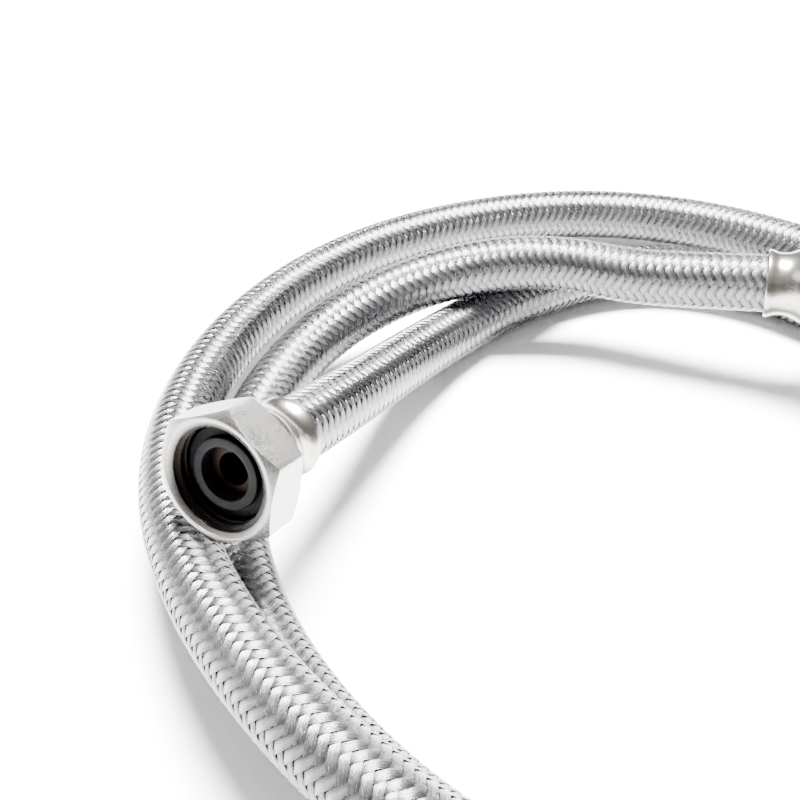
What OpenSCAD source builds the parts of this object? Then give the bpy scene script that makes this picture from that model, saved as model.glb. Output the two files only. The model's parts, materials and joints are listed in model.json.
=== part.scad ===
// Braided supply line: a stainless braided hose with a swivel nut at each end, lying loosely coiled.
// Millimetres, +Z up. The origin is on the floor, under the middle of the coil.
// End a is the nut on top of the coil at the left, end b the one at the right.

/* [Hose] */
// Outside diameter over the braid
hose_od = 14; // [13.8:0.1:15]
// Thickness of the wire braid sleeve
braid_t = 0.8; // [0.6:0.1:1]
// Waterway through the inner tube
hose_bore = 9; // [8.6:0.1:9.6]

/* [Coil] */
// Radius of the coil's widest full turn
coil_r = 100; // [96:1:125]

/* [Swivel nuts] */
// Width across the nut's flats
nut_af = 24; // [23.5:0.5:27]
// Length of the nut, all hexagon
hex_len = 9.5; // [9.4:0.1:12]
// Inside radius of the pipe thread's crests
thread_r = 9.32; // [9.3:0.01:9.4]

/* [Seal] */
// Thickness of the rubber washer's raised ring
washer_t = 2.7; // [2.2:0.1:2.9]
// Radius of the washer's hole
washer_hole_r = 5.2; // [4.5:0.1:5.6]

/* [Ferrules] */
// Wall of the crimped ferrule
ferrule_wall = 1; // [0.6:0.1:1.2]
// Radius of the ferrule's collar next to the nut
collar_r = 9.2; // [8.8:0.1:10.5]
// Length of the crimped ferrule
ferrule_len = 12; // [10:0.5:18]
// How far the nut slides along its tail
nut_travel = 1; // [0.8:0.1:3]

/* [Hidden] */
$fn = 96;
// The liner fills the sleeve, so the hose wall is one thickness from bore to braid
liner_r = hose_od / 2 - braid_t;
bore_r = hose_bore / 2;

// Stations along a fitting, measured from the nut's mouth towards the hose
flange_z = 5.5;
washer_z = flange_z - 1.3;
washer_top_z = flange_z - washer_t;
thread_end = 2.8;
flange_t = 1.2;
ring_z = flange_z + flange_t + 0.05;
ring_t = 0.8;
shoulder_z = ring_z + ring_t + 0.05;
nut_end = hex_len;
ferrule_z = nut_end + nut_travel;
hose_z = ferrule_z + 1;
lip_z = ferrule_z + ferrule_len;

tail_r = 6;
barb_r = bore_r - 0.3;
way_r = bore_r - 1.3;
seat_r = thread_r - 0.32;

// The coil keeps its lay when the hose or the coil gets bigger
spread = coil_r / 100;
centre = [-2, 6, 0];

// Where each nut's mouth is, and which way its axis runs from there into the hose
mouth_a = centre + [-82.5 * spread, -33.5 * spread, 1.7 * hose_od + nut_af / sqrt(3) + 1.3];
heading_a = 60.5;
pitch_a = -20;
roll_a = 3.5;
mouth_b = centre + [61.7 * spread, 30.8 * spread, hose_od + nut_af / sqrt(3) + 0.7];
heading_b = 160;
pitch_b = -8;
roll_b = 15;

// The hose's lay, clockwise from end a: a control point every turn_step degrees, with its radius
// and its height in hose diameters looked up by angle, and a straight run inside each ferrule
first_turn = 150;
turn_step = 25;
turn_count = 32;
straight = 22.5;
cuts = 2;
sides = 12;
radius_at = [
  [150, 56], [125, 59], [100, 66], [75, 78], [50, 83], [25, 85], [0, 90], [-25, 100],
  [-50, 113], [-75, 119], [-100, 113], [-125, 101], [-150, 99], [-175, 102], [-350, 104],
  [-375, 108], [-400, 114], [-425, 116], [-450, 108], [-475, 98], [-500, 92], [-550, 89],
  [-575, 82], [-600, 65], [-625, 56]
];
level_at = [
  [150, 0.95], [125, 0.5], [25, 0.6], [0, 0.95], [-25, 1.45], [-50, 1.6], [-125, 1.6],
  [-150, 1.45], [-175, 1.2], [-200, 0.95], [-250, 0.7], [-325, 0.7], [-375, 0.6],
  [-400, 0.5], [-550, 0.5], [-575, 0.95], [-600, 1.6], [-625, 1.6]
];

function axis_of(heading, pitch) = [cos(heading) * cos(pitch), sin(heading) * cos(pitch), sin(pitch)];

// Uniform cubic spline over control points p, at the start of segment i plus t
function spline_at(p, i, t) =
  (pow(1 - t, 3) * p[i] + (3 * pow(t, 3) - 6 * pow(t, 2) + 4) * p[i + 1]
  + (3 * t * (1 + t - pow(t, 2)) + 1) * p[i + 2] + pow(t, 3) * p[i + 3]) / 6;

dir_a = axis_of(heading_a, pitch_a);
dir_b = axis_of(heading_b, pitch_b);
start_a = mouth_a + dir_a * hose_z;
start_b = mouth_b + dir_b * hose_z;
turns = [for (i = [0:turn_count - 1])
  let (a = first_turn - turn_step * i, r = spread * lookup(a, radius_at))
  centre + [r * cos(a), r * sin(a), hose_od * lookup(a, level_at)]];
control = concat(
  [for (k = [-1:2]) start_a + dir_a * straight * k],
  turns,
  [for (k = [2:-1:-1]) start_b + dir_b * straight * k]
);
route = concat(
  [for (i = [0:len(control) - 4]) for (t = [0:1 / cuts:0.99]) spline_at(control, i, t)],
  [spline_at(control, len(control) - 4, 1)]
);

function unit(v) = v / norm(v);
function heading_at(i) = i == 0 ? dir_a : i == len(route) - 1 ? -dir_b
  : unit(unit(route[i + 1] - route[i]) + unit(route[i] - route[i - 1]));

// One ring of points of radius r round the route's point i
function ring_at(i, r) =
  let (ahead = heading_at(i), side = unit(cross([0, 0, 1], ahead)), top = cross(ahead, side))
  [for (k = [0:sides - 1]) route[i] + r * (cos(360 * k / sides) * side + sin(360 * k / sides) * top)];

// A pipe along the route, one closed skin: the outer wall, the bore and a flat ring at each end
module pipe_on_route(outer, inner) {
  last = len(route) - 1;
  walls = [outer, inner];
  skin = [for (w = walls) for (i = [0:last]) each ring_at(i, w)];
  function at(w, i, k) = (w * (last + 1) + i) * sides + k % sides;
  polyhedron(points = skin, faces = [
    for (i = [0:last - 1], k = [0:sides - 1])
      each [
        [at(0, i, k), at(0, i, k + 1), at(0, i + 1, k + 1)],
        [at(0, i, k), at(0, i + 1, k + 1), at(0, i + 1, k)],
        [at(1, i, k + 1), at(1, i, k), at(1, i + 1, k + 1)],
        [at(1, i, k), at(1, i + 1, k), at(1, i + 1, k + 1)]
      ],
    for (k = [0:sides - 1])
      each [
        [at(0, 0, k + 1), at(0, 0, k), at(1, 0, k)],
        [at(0, 0, k + 1), at(1, 0, k), at(1, 0, k + 1)],
        [at(0, last, k), at(0, last, k + 1), at(1, last, k)],
        [at(1, last, k), at(0, last, k + 1), at(1, last, k + 1)]
      ]
  ]);
}

module at_end_a() {
  translate(mouth_a) rotate([0, 90 - pitch_a, heading_a]) children();
}

module at_end_b() {
  translate(mouth_b) rotate([0, 90 - pitch_b, heading_b]) children();
}

// The fittings' shapes, mouth at the origin and hose towards +Z

module nut_shape() {
  corner_r = nut_af / sqrt(3);
  face_r = nut_af / 2 - 0.1;
  slope = (corner_r - face_r) * 0.6;
  difference() {
    intersection() {
      cylinder(r = corner_r, h = hex_len, $fn = 6);
      rotate_extrude()
        polygon([
          [0, 0], [face_r, 0], [corner_r, slope], [corner_r, hex_len - slope],
          [face_r, hex_len], [0, hex_len]
        ]);
    }
    translate([0, 0, -1]) cylinder(r = thread_r, h = shoulder_z);
    translate([0, 0, -0.01]) cylinder(r1 = thread_r + 1.2, r2 = thread_r, h = 1.2);
    translate([0, 0, thread_end]) cylinder(r = thread_r + 0.3, h = shoulder_z - thread_end);
    translate([0, 0, -1]) cylinder(r = tail_r + 0.4, h = nut_end + 2);
  }
}

module washer_shape() {
  rotate_extrude()
    polygon([
      [washer_hole_r, washer_top_z], [washer_hole_r + 1.5, washer_top_z],
      [washer_hole_r + 1.8, washer_top_z + 0.4], [washer_hole_r + 1.8, washer_z],
      [seat_r, washer_z], [seat_r, flange_z], [washer_hole_r, flange_z]
    ]);
}

module insert_shape() {
  barb = (lip_z - 2 - hose_z) / 4;
  rotate_extrude()
    polygon(concat(
      [[way_r, flange_z], [seat_r - 0.2, flange_z], [seat_r - 0.2, flange_z + flange_t],
       [tail_r, flange_z + flange_t], [tail_r, hose_z]],
      [for (i = [0:3]) each [[barb_r, hose_z + barb * i], [barb_r - 0.5, hose_z + barb * (i + 1)]]],
      [[way_r, lip_z - 2]]
    ));
}

module slip_ring_shape() {
  translate([0, 0, ring_z])
    difference() {
      cylinder(r = seat_r - 0.2, h = ring_t);
      translate([0, 0, -1]) cylinder(r = tail_r + 0.3, h = ring_t + 2);
    }
}

module ferrule_shape() {
  hose_r = hose_od / 2;
  body_r = hose_r + ferrule_wall;
  waist_r = hose_r + ferrule_wall * 0.45;
  wide_r = max(collar_r, body_r + 0.6);
  rotate_extrude()
    polygon([
      [tail_r, ferrule_z], [wide_r - 0.8, ferrule_z], [wide_r, ferrule_z + 0.8],
      [wide_r, ferrule_z + 3.4], [wide_r - 0.5, ferrule_z + 4.2], [waist_r, lip_z - 4.6],
      [waist_r, lip_z - 2.8], [body_r + 0.1, lip_z - 0.6], [body_r, lip_z], [hose_r, lip_z],
      [hose_r, hose_z], [tail_r, hose_z]
    ]);
}

module braid_sleeve() {
  color("silver") pipe_on_route(hose_od / 2, liner_r);
}

module inner_tube() {
  color("dimgray") pipe_on_route(liner_r, bore_r);
}

module crimp_ferrule_a() {
  color("gainsboro") at_end_a() ferrule_shape();
}

module insert_tail_a() {
  color("goldenrod") at_end_a() insert_shape();
}

module slip_ring_a() {
  color("white") at_end_a() slip_ring_shape();
}

module sealing_washer_a() {
  color("black") at_end_a() washer_shape();
}

module swivel_nut_a() {
  color("lightgray") at_end_a() rotate(roll_a) nut_shape();
}

module crimp_ferrule_b() {
  color("gainsboro") at_end_b() ferrule_shape();
}

module insert_tail_b() {
  color("goldenrod") at_end_b() insert_shape();
}

module slip_ring_b() {
  color("white") at_end_b() slip_ring_shape();
}

module sealing_washer_b() {
  color("black") at_end_b() washer_shape();
}

module swivel_nut_b() {
  color("lightgray") at_end_b() rotate(roll_b) nut_shape();
}

braid_sleeve();
inner_tube();
crimp_ferrule_a();
insert_tail_a();
slip_ring_a();
sealing_washer_a();
swivel_nut_a();
crimp_ferrule_b();
insert_tail_b();
slip_ring_b();
sealing_washer_b();
swivel_nut_b();
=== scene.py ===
"""The braided supply line's looks: a woven steel sleeve over a rubber tube, in a loose coil,
with a crimped ferrule and a swivel nut on each end.
Lengths are metres in the part's own frame. A fitting's profiles are millimetres along +Z from
its nut's mouth, and the fitting is then set in place."""

import json
import math

import bpy
import numpy as np
from mathutils import Matrix, Vector


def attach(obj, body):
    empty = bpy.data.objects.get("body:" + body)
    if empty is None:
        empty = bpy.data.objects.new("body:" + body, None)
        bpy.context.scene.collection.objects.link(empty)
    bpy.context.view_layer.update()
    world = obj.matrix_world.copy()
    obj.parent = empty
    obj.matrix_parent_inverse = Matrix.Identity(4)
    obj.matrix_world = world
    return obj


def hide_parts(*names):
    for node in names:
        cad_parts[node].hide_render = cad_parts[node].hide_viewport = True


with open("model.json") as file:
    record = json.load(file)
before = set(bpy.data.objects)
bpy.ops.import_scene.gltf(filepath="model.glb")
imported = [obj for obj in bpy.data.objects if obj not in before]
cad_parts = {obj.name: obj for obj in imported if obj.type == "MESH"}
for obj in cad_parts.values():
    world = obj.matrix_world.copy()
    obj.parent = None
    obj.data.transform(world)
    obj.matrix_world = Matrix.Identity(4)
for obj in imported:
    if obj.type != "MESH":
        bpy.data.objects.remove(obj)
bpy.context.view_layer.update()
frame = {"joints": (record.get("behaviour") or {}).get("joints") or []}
scene = bpy.context.scene
MM = 0.001
TAU = 2 * math.pi


# Camera

def place_camera():
    data = bpy.data.cameras.new("camera")
    data.sensor_width = 36
    data.lens = 41.4
    data.clip_start = 0.01
    data.clip_end = 20
    camera = bpy.data.objects.new("camera", data)
    scene.collection.objects.link(camera)
    eye = (-0.0514, -0.139, 0.1572)
    down, roll = math.radians(42.1), math.radians(-2.13)
    ahead = Vector((0, math.cos(down), -math.sin(down)))
    right = Vector((1, 0, 0))
    up = right.cross(ahead)
    side = right * math.cos(roll) + up * math.sin(roll)
    top = up * math.cos(roll) - right * math.sin(roll)
    turn = Matrix((side, top, -ahead)).transposed().to_4x4()
    camera.matrix_world = Matrix.Translation(eye) @ turn
    scene.camera = camera


place_camera()


# The hose's route

HOSE_R = 7 * MM
COIL_CENTRE = np.array([-0.002, 0.006, 0])
HOSE_START = 11.5 * MM
STRAIGHT = 22.5 * MM
FIRST_TURN, TURN_STEP, TURN_COUNT = 150, 25, 32
# Radius by angle in metres, and height by angle in hose diameters, as in part.scad
RADIUS_AT = [
    (150, 0.056), (125, 0.059), (100, 0.066), (75, 0.078), (50, 0.083), (25, 0.085), (0, 0.090),
    (-25, 0.100), (-50, 0.113), (-75, 0.119), (-100, 0.113), (-125, 0.101), (-150, 0.099),
    (-175, 0.102), (-350, 0.104), (-375, 0.108), (-400, 0.114), (-425, 0.116), (-450, 0.108),
    (-475, 0.098), (-500, 0.092), (-550, 0.089), (-575, 0.082), (-600, 0.065), (-625, 0.056),
]
LEVEL_AT = [
    (150, 0.95), (125, 0.5), (25, 0.6), (0, 0.95), (-25, 1.45), (-50, 1.6), (-125, 1.6),
    (-150, 1.45), (-175, 1.2), (-200, 0.95), (-250, 0.7), (-325, 0.7), (-375, 0.6),
    (-400, 0.5), (-550, 0.5), (-575, 0.95), (-600, 1.6), (-625, 1.6),
]


def end_of(letter):
    """The mouth of a nut and the direction from there into the hose."""
    joint = next(j for j in frame["joints"] if j["name"] == f"nut_{letter}_spin")
    return np.array(joint["pos_m"]), np.array(joint["axis"])


MOUTH_A, DIR_A = end_of("a")
MOUTH_B, DIR_B = end_of("b")


def look_up(angle, table):
    rows = sorted(table)
    return np.interp(angle, [r[0] for r in rows], [r[1] for r in rows])


def hose_route(step):
    """The centreline from end a's ferrule to end b's, resampled evenly."""
    start_a, start_b = MOUTH_A + DIR_A * HOSE_START, MOUTH_B + DIR_B * HOSE_START
    control = [start_a + DIR_A * STRAIGHT * k for k in (-1, 0, 1, 2)]
    for i in range(TURN_COUNT):
        angle = FIRST_TURN - TURN_STEP * i
        r, turn = look_up(angle, RADIUS_AT), math.radians(angle)
        height = 2 * HOSE_R * look_up(angle, LEVEL_AT)
        control.append(COIL_CENTRE + [r * math.cos(turn), r * math.sin(turn), height])
    control += [start_b + DIR_B * STRAIGHT * k for k in (2, 1, 0, -1)]
    p = np.array(control)
    t = np.linspace(0, 1, 60, endpoint=False)[:, None]
    spans = [
        ((1 - t) ** 3 * p[i] + (3 * t**3 - 6 * t**2 + 4) * p[i + 1]
         + (3 * t * (1 + t - t**2) + 1) * p[i + 2] + t**3 * p[i + 3]) / 6
        for i in range(len(p) - 3)
    ]
    fine = np.vstack(spans + [start_b[None]])
    run = np.concatenate([[0], np.cumsum(np.linalg.norm(np.diff(fine, axis=0), axis=1))])
    even = np.linspace(0, run[-1], int(run[-1] / step) + 1)
    return even, np.stack([np.interp(even, run, fine[:, k]) for k in range(3)], 1)


def carried_frames(line):
    """Side and top vectors along the line that turn as little as they can."""
    ahead = np.gradient(line, axis=0)
    ahead /= np.linalg.norm(ahead, axis=1)[:, None]
    side = np.cross([0, 0, 1], ahead[0])
    side /= np.linalg.norm(side)
    sides = [side]
    for a in ahead[1:]:
        side = sides[-1] - a * (sides[-1] @ a)
        sides.append(side / np.linalg.norm(side))
    sides = np.array(sides)
    return sides, np.cross(ahead, sides)


def mesh_object(name, verts, faces, uv=None, sharp=None):
    """A smooth-shaded mesh from arrays; uv has one row for each vertex."""
    mesh = bpy.data.meshes.new(name)
    if isinstance(faces, np.ndarray):
        faces = faces.tolist()
    mesh.from_pydata(np.asarray(verts).tolist(), [], faces)
    mesh.polygons.foreach_set("use_smooth", [True] * len(mesh.polygons))
    if uv is not None:
        layer = mesh.uv_layers.new(name="UVMap")
        loops = np.zeros(len(mesh.loops), np.int32)
        mesh.loops.foreach_get("vertex_index", loops)
        layer.data.foreach_set("uv", np.asarray(uv, np.float32)[loops].ravel())
    if sharp:
        mesh.set_sharp_from_angle(angle=math.radians(sharp))
    mesh.validate()
    obj = bpy.data.objects.new(name, mesh)
    scene.collection.objects.link(obj)
    return obj


def square_wave(turn):
    """A wave of period 60 degrees round the hose, with flat tops and quick smooth sides."""
    x = np.cos(6 * (turn - math.radians(7.5)))
    return np.tanh(1.8 * x) / math.tanh(1.8)


STEP = 0.73 * MM
run, line = hose_route(STEP)
side, top = carried_frames(line)
LAY = 27 * MM
CARRIERS = 12
STRIP_W = 3.4 * MM
STRIP_LIFT = 0.14 * MM
STRIP_BULGE = 0.06 * MM
STRIP_SINK = 0.18 * MM
ACROSS = np.linspace(-1, 1, 6)
# The bundles' texture runs once along in this many millimetres, and starts apart on each one
STREAK_LENGTH = 35
STREAK_SHIFT = 7.3
HAND_SHIFT = 90


def braid_sleeve():
    """Twelve flat wire bundles each way, every one over two and under two of the other set."""
    verts, uvs, faces = [], [], []
    rings, width = len(run), len(ACROSS)
    base = 0
    one_by_one = np.arange(rings - 1)[:, None] * width + np.arange(width - 1)[None]
    for hand in (1, -1):
        for i in range(CARRIERS):
            middle = TAU * (i / CARRIERS + hand * run / LAY)
            turn = middle[:, None] + ACROSS[None] * STRIP_W / 2 / HOSE_R
            lift = STRIP_LIFT * hand * square_wave(middle)[:, None]
            r = HOSE_R - STRIP_SINK + lift + STRIP_BULGE * (1 - ACROSS[None] ** 2)
            outward = np.cos(turn)[..., None] * side[:, None] + np.sin(turn)[..., None] * top[:, None]
            points = line[:, None] + r[..., None] * outward
            verts.append(points.reshape(-1, 3))
            u = np.broadcast_to((ACROSS[None] + 1) / 2, turn.shape)
            along = run[:, None] * 1000 / STREAK_LENGTH + STREAK_SHIFT * i + HAND_SHIFT * (hand > 0)
            v = np.broadcast_to(along, turn.shape)
            uvs.append(np.stack([u, v], -1).reshape(-1, 2))
            corner = base + one_by_one
            quad = np.stack([corner, corner + 1, corner + width + 1, corner + width], -1).reshape(-1, 4)
            faces.append(quad)
            base += rings * width
    return mesh_object("woven_sleeve", np.vstack(verts), np.vstack(faces), np.vstack(uvs))


def liner():
    """The rubber tube that shows as dark gaps between the bundles, open at both ends."""
    every, count = 4, 24
    outer_r, bore_r = 6.45 * MM, 4.5 * MM
    keep = np.unique(np.append(np.arange(0, len(run), every), len(run) - 1))
    turn = np.linspace(0, TAU, count, endpoint=False)
    faces, verts = [], []
    for outer, r in ((True, outer_r), (False, bore_r)):
        across, up = np.cos(turn)[None, :, None], np.sin(turn)[None, :, None]
        ring = across * side[keep][:, None] + up * top[keep][:, None]
        verts.append((line[keep][:, None] + r * ring).reshape(-1, 3))
        base = 0 if outer else len(keep) * count
        for i in range(len(keep) - 1):
            for k in range(count):
                a, b = base + i * count + k, base + i * count + (k + 1) % count
                quad = [a, b, b + count, a + count]
                faces.append(quad if outer else quad[::-1])
    inner, last = len(keep) * count, (len(keep) - 1) * count
    for k in range(count):
        n = (k + 1) % count
        faces.append([k, inner + k, inner + n, n])
        faces.append([last + k, last + n, inner + last + n, inner + last + k])
    return mesh_object("rubber_liner", np.vstack(verts), faces)


# The fittings

def ring_quads(rows, columns):
    """Faces of a grid whose rows and columns both close on themselves."""
    return [
        [
            i * columns + k, i * columns + (k + 1) % columns,
            (i + 1) % rows * columns + (k + 1) % columns, (i + 1) % rows * columns + k,
        ]
        for i in range(rows) for k in range(columns)
    ]


def lathe(name, profile, segments=128, sharp=35):
    """A closed profile of (radius, station) pairs in millimetres, turned round +Z."""
    turn = np.linspace(0, TAU, segments, endpoint=False)
    verts = [(r * MM * math.cos(a), r * MM * math.sin(a), z * MM) for r, z in profile for a in turn]
    faces = [quad[::-1] for quad in ring_quads(len(profile), segments)]
    return mesh_object(name, verts, faces, sharp=sharp)


def rounded(profile, radius, steps=4):
    """The closed profile with its corners rounded."""
    out, n = [], len(profile)
    for i in range(n):
        p, c, q = (np.array(profile[j % n], float) for j in (i - 1, i, i + 1))
        back, on = p - c, q - c
        r = min(radius, 0.45 * np.linalg.norm(back), 0.45 * np.linalg.norm(on))
        a, b = c + back / np.linalg.norm(back) * r, c + on / np.linalg.norm(on) * r
        for t in np.linspace(0, 1, steps + 1):
            out.append(tuple((1 - t) ** 2 * a + 2 * t * (1 - t) * c + t**2 * b))
    return out


def ferrule():
    """Collar, waist and flared lip, open over the hose."""
    outer = [
        (8.5, 10.52), (8.9, 10.68), (9.13, 11.1), (9.2, 11.7), (9.2, 13.5), (9.1, 14.15), (8.75, 14.9),
        (8.2, 15.9), (7.75, 16.9), (7.5, 17.9), (7.44, 18.9), (7.5, 19.7), (7.68, 20.4), (7.98, 21.1),
        (8.2, 21.7), (8.24, 22.15), (8.05, 22.45), (7.7, 22.5),
    ]
    return [(6.05, 10.52)] + outer + [(7.12, 22.3), (7.12, 11.5), (6.05, 11.5)]


def washer():
    """A flat seal with a raised ring round its hole."""
    hole, seat_r, top_z, back_z = 5.2, 9.0, 2.8, 5.5
    ring = [(hole, top_z), (6.95, top_z), (7.05, 3.1), (7.05, 4.2)]
    return rounded(ring + [(seat_r, 4.2), (seat_r, back_z), (hole, back_z)], 0.16)


def insert():
    """The tail: a flange for the washer, a stem, then barbs inside the hose."""
    bore, stem, hose_z, barbs = 3.2, 6, 11.5, 4
    barb = 9 / barbs
    teeth = [p for i in range(barbs) for p in ((4.2, hose_z + barb * i), (3.7, hose_z + barb * (i + 1)))]
    flange = [(bore, 5.5), (8.8, 5.5), (8.8, 6.7), (stem, 6.7), (stem, hose_z)]
    return rounded(flange + teeth + [(bore, 20.5)], 0.12, 2)


def slip_ring():
    """The ring that the nut turns against."""
    return rounded([(6.3, 6.75), (8.8, 6.75), (8.8, 7.55), (6.3, 7.55)], 0.12, 3)


def nut(name):
    """The swivel nut with chamfered corners and a cut pipe thread."""
    flat, face_r, hexagon = 12.0, 11.9, 9.5
    hole_r, shoulder_z, undercut_r, undercut_z = 6.4, 7.6, 9.62, 4.0
    crest_r, pitch, depth = 9.32, 1.814, 1.05
    corner_r = flat / math.cos(math.radians(30))
    slope = (corner_r - face_r) * 0.6
    # Columns lie close together over each corner's small rounding, this many degrees each way
    rounding = 1.5
    corner = (-1.5, -1.0, -0.5, 0, 0.5, 1.0, 1.5) + tuple(np.linspace(3, 57, 25))
    angles = np.radians(sorted((60 * c + off) % 360 for c in range(6) for off in corner))
    off = np.degrees((angles + math.radians(30)) % math.radians(60)) - 30
    near = np.abs(off) < rounding + 0.01
    hexed = flat / np.cos(np.radians(30 - np.abs(off)))
    at_edge = flat / math.cos(math.radians(30 - rounding))
    hexed = np.where(near, at_edge + 0.07 * (1 - (off / rounding) ** 2), hexed)
    chamfer = (hexed - face_r) / (corner_r - face_r) * slope
    ones = np.ones_like(angles)
    rows = []

    def row(r, z):
        rows.append((r * ones, z * ones))

    row(11.1, 0.12)
    row(11.16, 0.03)
    row(11.24, 0)
    row(11.55, 0)
    row(face_r - 0.12, 0)
    rows.append((face_r * ones, 0.03 * ones))
    softened = hexed - 0.1 * (hexed - face_r) - 0.02
    rows.append((softened, chamfer * 0.9))
    rows.append((hexed, chamfer + 0.05))
    rows.append((hexed, chamfer + 0.4))
    rows.append((hexed, hexagon - chamfer - 0.4))
    rows.append((hexed, hexagon - chamfer - 0.05))
    rows.append((softened, hexagon - chamfer * 0.9))
    row(face_r, hexagon)
    row(hole_r + 0.3, hexagon)
    row(hole_r, hexagon - 0.25)
    row(hole_r, shoulder_z)
    row(undercut_r, shoulder_z)
    row(undercut_r, undercut_z)
    for z in np.arange(3.9, 0.19, -0.1):
        phase = (z / pitch - angles / TAU) % 1
        tooth = np.clip(1.35 * (1 - np.abs(2 * phase - 1)) - 0.12, 0, 1)
        tooth = tooth * tooth * (3 - 2 * tooth)
        inside = min(1.0, max(0.3, (3.9 - z) / 0.4))
        flare = 1.45 * max(0.0, 1.3 - z)
        rows.append((np.maximum(crest_r + depth * tooth * inside, crest_r + flare), z * ones))
    verts = np.vstack([
        np.stack([r * np.cos(angles), r * np.sin(angles), z], 1) * MM for r, z in rows
    ])
    return mesh_object(name, verts, ring_quads(len(rows), len(angles)), sharp=28)


def set_at(obj, mouth, direction, roll=0):
    heading = math.atan2(direction[1], direction[0])
    pitch = math.asin(direction[2])
    obj.matrix_world = (
        Matrix.Translation(mouth) @ Matrix.Rotation(heading, 4, "Z")
        @ Matrix.Rotation(math.pi / 2 - pitch, 4, "Y") @ Matrix.Rotation(math.radians(roll), 4, "Z")
    )


# Materials

class Nodes:
    """A short way to write a material's nodes."""

    def __init__(self, name):
        self.material = bpy.data.materials.new(name)
        self.material.use_nodes = True
        self.tree = self.material.node_tree
        self.shader = self.tree.nodes["Principled BSDF"]

    def add(self, kind, links=None, **settings):
        node = self.tree.nodes.new(kind)
        for key, value in settings.items():
            setattr(node, key, value)
        for socket, source in (links or {}).items():
            if isinstance(source, bpy.types.NodeSocket):
                self.tree.links.new(source, node.inputs[socket])
            else:
                node.inputs[socket].default_value = source
        return node

    def math(self, operation, a, b=0.0):
        return self.add("ShaderNodeMath", {0: a, 1: b}, operation=operation).outputs[0]

    def noise(self, vector, scale, detail=3.0, rough=0.55):
        links = {"Vector": vector, "Scale": scale, "Detail": detail, "Roughness": rough}
        return self.add("ShaderNodeTexNoise", links).outputs["Fac"]

    def stretched(self, vector, scale):
        return self.add("ShaderNodeMapping", {"Vector": vector, "Scale": scale}).outputs[0]

    def object_point(self):
        return self.add("ShaderNodeTexCoord").outputs["Object"]

    def ramp(self, value, stops):
        ramp = self.add("ShaderNodeValToRGB", {"Fac": value})
        stop = ramp.color_ramp.elements
        stop[0].position, stop[0].color = stops[0][0], (*stops[0][1], 1)
        stop[1].position, stop[1].color = stops[-1][0], (*stops[-1][1], 1)
        for place, colour in stops[1:-1]:
            stop.new(place).color = (*colour, 1)
        return ramp.outputs["Color"]

    def span(self, value, low, high):
        return self.add("ShaderNodeMapRange", {"Value": value, "To Min": low, "To Max": high}).outputs[0]

    def fade(self, value, start, end):
        return self.add("ShaderNodeMapRange", {"Value": value, "From Min": start, "From Max": end}).outputs[0]

    def bump(self, height, distance, strength):
        links = {"Height": height, "Distance": distance, "Strength": strength}
        return self.add("ShaderNodeBump", links).outputs[0]

    def surface(self, **values):
        for name, value in values.items():
            socket = self.shader.inputs[name.replace("_", " ")]
            if isinstance(value, bpy.types.NodeSocket):
                self.tree.links.new(value, socket)
            else:
                socket.default_value = value
        return self.material


WIRES = 8.0


def braid_steel():
    """Bundles of bright wires, each with its own tone, and painted shade darkening each bundle towards its
    edges.
    """
    n = Nodes("braid_steel")
    uv = n.add("ShaderNodeTexCoord").outputs["UV"]
    parts = n.add("ShaderNodeSeparateXYZ", {0: uv})
    across = parts.outputs["X"]
    counted = n.math("MULTIPLY", across, WIRES)
    wire = n.math("FRACT", counted)
    off = n.math("SUBTRACT", wire, 0.5)
    wire_top = n.math("SUBTRACT", 1.0, n.math("MULTIPLY", n.math("MULTIPLY", off, off), 4.0))
    length = n.math("MULTIPLY", parts.outputs["Y"], 6.0)
    edge = n.math("ABSOLUTE", n.math("SUBTRACT", across, 0.5))
    each_wire = n.add("ShaderNodeCombineXYZ", {0: n.math("FLOOR", counted), 1: length}).outputs[0]
    streak = n.noise(each_wire, 1.7, 2.0)
    smudge = n.noise(n.object_point(), 55.0, 4.0)
    # Painted shade: each bundle's colour darkens towards its edges, where neighbouring bundles meet; the
    # streak and smudge noise are the wires' own random tone
    shade = n.math("MULTIPLY", n.span(streak, 0.82, 1.06), n.span(edge, 1.08, 0.62))
    shade = n.math("MULTIPLY", shade, n.span(smudge, 0.93, 1.05))
    tint = n.ramp(
        shade, [(0.35, (0.008, 0.0075, 0.007)), (0.75, (0.074, 0.073, 0.073)), (1.0, (0.158, 0.158, 0.162))]
    )
    rough = n.math("ADD", n.span(streak, 0.19, 0.32), n.span(smudge, -0.02, 0.06))
    height = n.math("ADD", n.math("MULTIPLY", wire_top, 0.75), n.math("MULTIPLY", streak, 0.4))
    return n.surface(Base_Color=tint, Metallic=1.0, Roughness=rough, Normal=n.bump(height, 0.00009, 0.9))


def rubber(name, low, high, gloss):
    n = Nodes(name)
    point = n.object_point()
    grain = n.noise(point, 2600.0, 2.0)
    patch = n.noise(point, 180.0, 3.0)
    tone = n.math("ADD", n.math("MULTIPLY", grain, 0.5), n.math("MULTIPLY", patch, 0.5))
    return n.surface(
        Base_Color=n.ramp(tone, [(0.35, low), (0.7, high)]), Specular_IOR_Level=0.1,
        Roughness=n.span(patch, gloss, gloss + 0.2), Normal=n.bump(grain, 0.00004, 0.6),
    )


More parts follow.
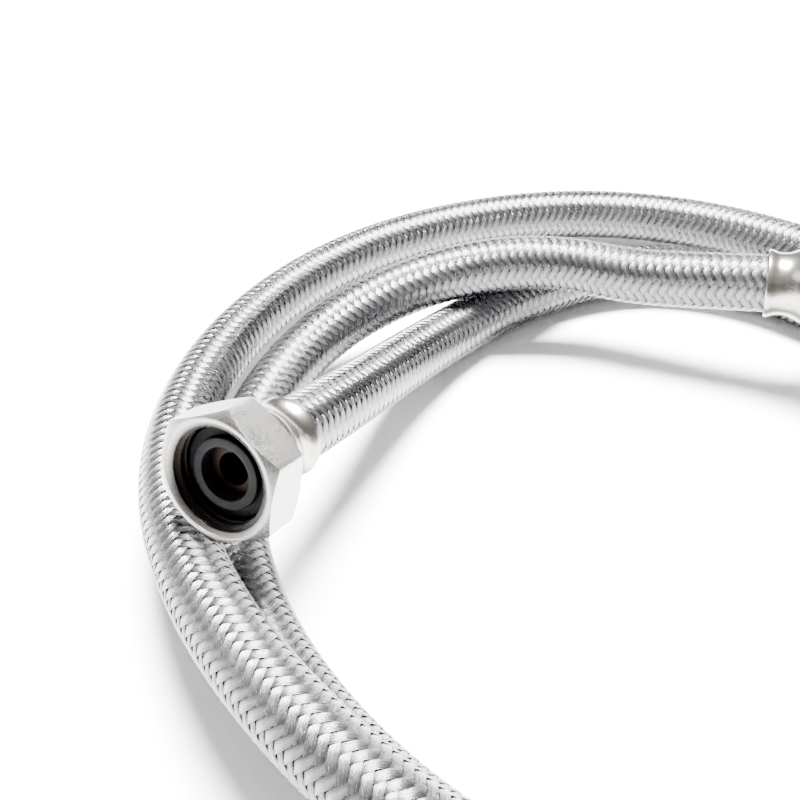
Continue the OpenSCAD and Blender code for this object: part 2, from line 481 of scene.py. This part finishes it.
def nickel(name, low, high, rough, grain_depth, turned, painted_bore_shade=False):
    """Satin plate: fine blasted grain, faint lathe rings, handling marks.
    With the bore flag set, shade is painted down the bore: the metal is darkened towards the inside and
    deeper in, where the recess gets little light."""
    n = Nodes(name)
    point = n.object_point()
    grain = n.noise(point, 3800.0, 3.0, 0.6)
    cloud = n.noise(point, 130.0, 3.0)
    marks = n.noise(n.stretched(point, (900.0, 900.0, 140.0)), 1.0, 2.0)
    rings = n.noise(n.stretched(point, (4.0, 4.0, 5200.0)), 1.0, 1.0)
    tone = n.math("ADD", n.math("MULTIPLY", cloud, 0.6), n.math("MULTIPLY", marks, 0.4))
    tint = n.ramp(tone, [(0.3, low), (0.68, high)])
    if painted_bore_shade:
        # Painted shade: the countersink and bore go to near black inwards of 11.3 mm radius and below 0.1 mm
        # deep, where the recess is unlit
        parts = n.add("ShaderNodeSeparateXYZ", {0: point}).outputs
        squares = [n.math("MULTIPLY", parts[axis], parts[axis]) for axis in "XY"]
        radius = n.math("SQRT", n.math("ADD", *squares))
        inner = n.fade(radius, 11.3 * MM, 10.8 * MM)
        deep = n.fade(parts["Z"], 0.1 * MM, 0.9 * MM)
        mix = n.add("ShaderNodeMix", {"Factor": n.math("MULTIPLY", inner, deep)}, data_type="RGBA")
        n.tree.links.new(tint, mix.inputs["A"])
        mix.inputs["B"].default_value = (0.006, 0.005, 0.0042, 1)
        tint = mix.outputs["Result"]
    gloss = n.math("ADD", n.span(cloud, rough - 0.05, rough + 0.07), n.span(grain, -0.03, 0.06))
    height = n.math("ADD", grain, n.math("MULTIPLY", rings, turned))
    return n.surface(Base_Color=tint, Metallic=1.0, Roughness=gloss, Normal=n.bump(height, grain_depth, 0.8))


def plastic(name, low, high):
    n = Nodes(name)
    point = n.object_point()
    grain = n.noise(point, 1500.0, 2.0)
    cloud = n.noise(point, 160.0, 3.0)
    return n.surface(
        Base_Color=n.ramp(cloud, [(0.3, low), (0.7, high)]),
        Roughness=n.span(grain, 0.35, 0.5), Normal=n.bump(grain, 0.00002, 0.5),
    )


def floor_material():
    n = Nodes("floor")
    point = n.object_point()
    cloud = n.noise(point, 6.0, 3.0)
    tint = n.ramp(cloud, [(0.3, (0.9, 0.9, 0.9)), (0.7, (0.93, 0.93, 0.93))])
    return n.surface(Base_Color=tint, Roughness=0.9)


FINISH = {
    "braid": braid_steel(),
    "hose_rubber": rubber("hose_rubber", (0.001, 0.001, 0.001), (0.003, 0.003, 0.003), 0.7),
    "seal_rubber": rubber("seal_rubber", (0.0008, 0.0008, 0.0013), (0.002, 0.0021, 0.0034), 0.5),
    "nut_plate": nickel(
        "nut_plate", (0.2, 0.191, 0.18), (0.25, 0.242, 0.23), 0.26, 0.00011, 0.3, painted_bore_shade=True
    ),
    "ferrule_steel": nickel("ferrule_steel", (0.19, 0.178, 0.155), (0.27, 0.258, 0.235), 0.22, 0.00002, 0.5),
    # Dark patinated brass, its colour darkened much further as painted shade, since the insert sits deep
    # inside the nut
    "insert_brass": nickel(
        "insert_brass", (0.004, 0.0025, 0.0018), (0.009, 0.0055, 0.004), 0.4, 0.00003, 0.8
    ),
    "slip_plastic": plastic("slip_plastic", (0.72, 0.72, 0.7), (0.8, 0.8, 0.78)),
}


def finish(obj, slot, body, *nodes):
    obj.data.materials.append(FINISH[slot])
    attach(obj, body)
    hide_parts(*nodes)
    return obj


# Build

ROLL_A, ROLL_B = 3.5, 15

sleeve = finish(braid_sleeve(), "braid", "hose", "braid_sleeve")
finish(liner(), "hose_rubber", "hose", "inner_tube")
for letter, mouth, direction, roll in (("a", MOUTH_A, DIR_A, ROLL_A), ("b", MOUTH_B, DIR_B, ROLL_B)):
    rows = [
        (lathe(f"ferrule_{letter}", ferrule()), "ferrule_steel", "hose", "crimp_ferrule", 0),
        (lathe(f"insert_{letter}", insert()), "insert_brass", "hose", "insert_tail", 0),
        (lathe(f"ring_{letter}", slip_ring()), "slip_plastic", f"slip_ring_{letter}", "slip_ring", 0),
        (lathe(f"washer_{letter}", washer()), "seal_rubber", "hose", "sealing_washer", 0),
        (nut(f"nut_{letter}"), "nut_plate", f"nut_{letter}", "swivel_nut", roll),
    ]
    for obj, slot, body, node, turn in rows:
        set_at(obj, mouth, direction, turn)
        finish(obj, slot, body, f"{node}_{letter}")


# Studio

def studio_floor():
    bpy.ops.mesh.primitive_plane_add(size=30, location=(0, 0, 0))
    floor = bpy.context.object
    floor.name = "floor"
    floor.data.materials.append(floor_material())


def softbox(name, place, aim, width, depth, power, colour=(1, 1, 1)):
    data = bpy.data.lights.new(name, "AREA")
    data.shape = "RECTANGLE"
    data.size, data.size_y = width, depth
    data.energy = power
    data.color = colour
    light = bpy.data.objects.new(name, data)
    scene.collection.objects.link(light)
    light.location = place
    light.rotation_euler = (Vector(aim) - Vector(place)).to_track_quat("-Z", "Y").to_euler()


def surroundings():
    """White overhead that falls to grey at the horizon, as in a tent."""
    world = bpy.data.worlds.new("studio")
    world.use_nodes = True
    tree = world.node_tree
    point = tree.nodes.new("ShaderNodeTexCoord")
    parts = tree.nodes.new("ShaderNodeSeparateXYZ")
    ramp = tree.nodes.new("ShaderNodeValToRGB")
    tree.links.new(point.outputs["Generated"], parts.inputs[0])
    tree.links.new(parts.outputs["Z"], ramp.inputs["Fac"])
    stops = ramp.color_ramp.elements
    stops[0].position, stops[0].color = 0.0, (0.24, 0.215, 0.2, 1)
    stops[1].position, stops[1].color = 0.85, (1, 1, 1, 1)
    stops.new(0.45).color = (0.4, 0.4, 0.415, 1)
    ground = tree.nodes["Background"]
    tree.links.new(ramp.outputs["Color"], ground.inputs["Color"])
    ground.inputs["Strength"].default_value = 1.22
    scene.world = world


studio_floor()
surroundings()
softbox("overhead", (0.02, 0.3, 0.72), (0, 0, 0), 0.38, 0.32, 175.0)
softbox("left", (-0.7, 0.1, 0.45), (0, 0, 0.02), 0.3, 0.4, 3.0, (1.0, 0.98, 0.95))
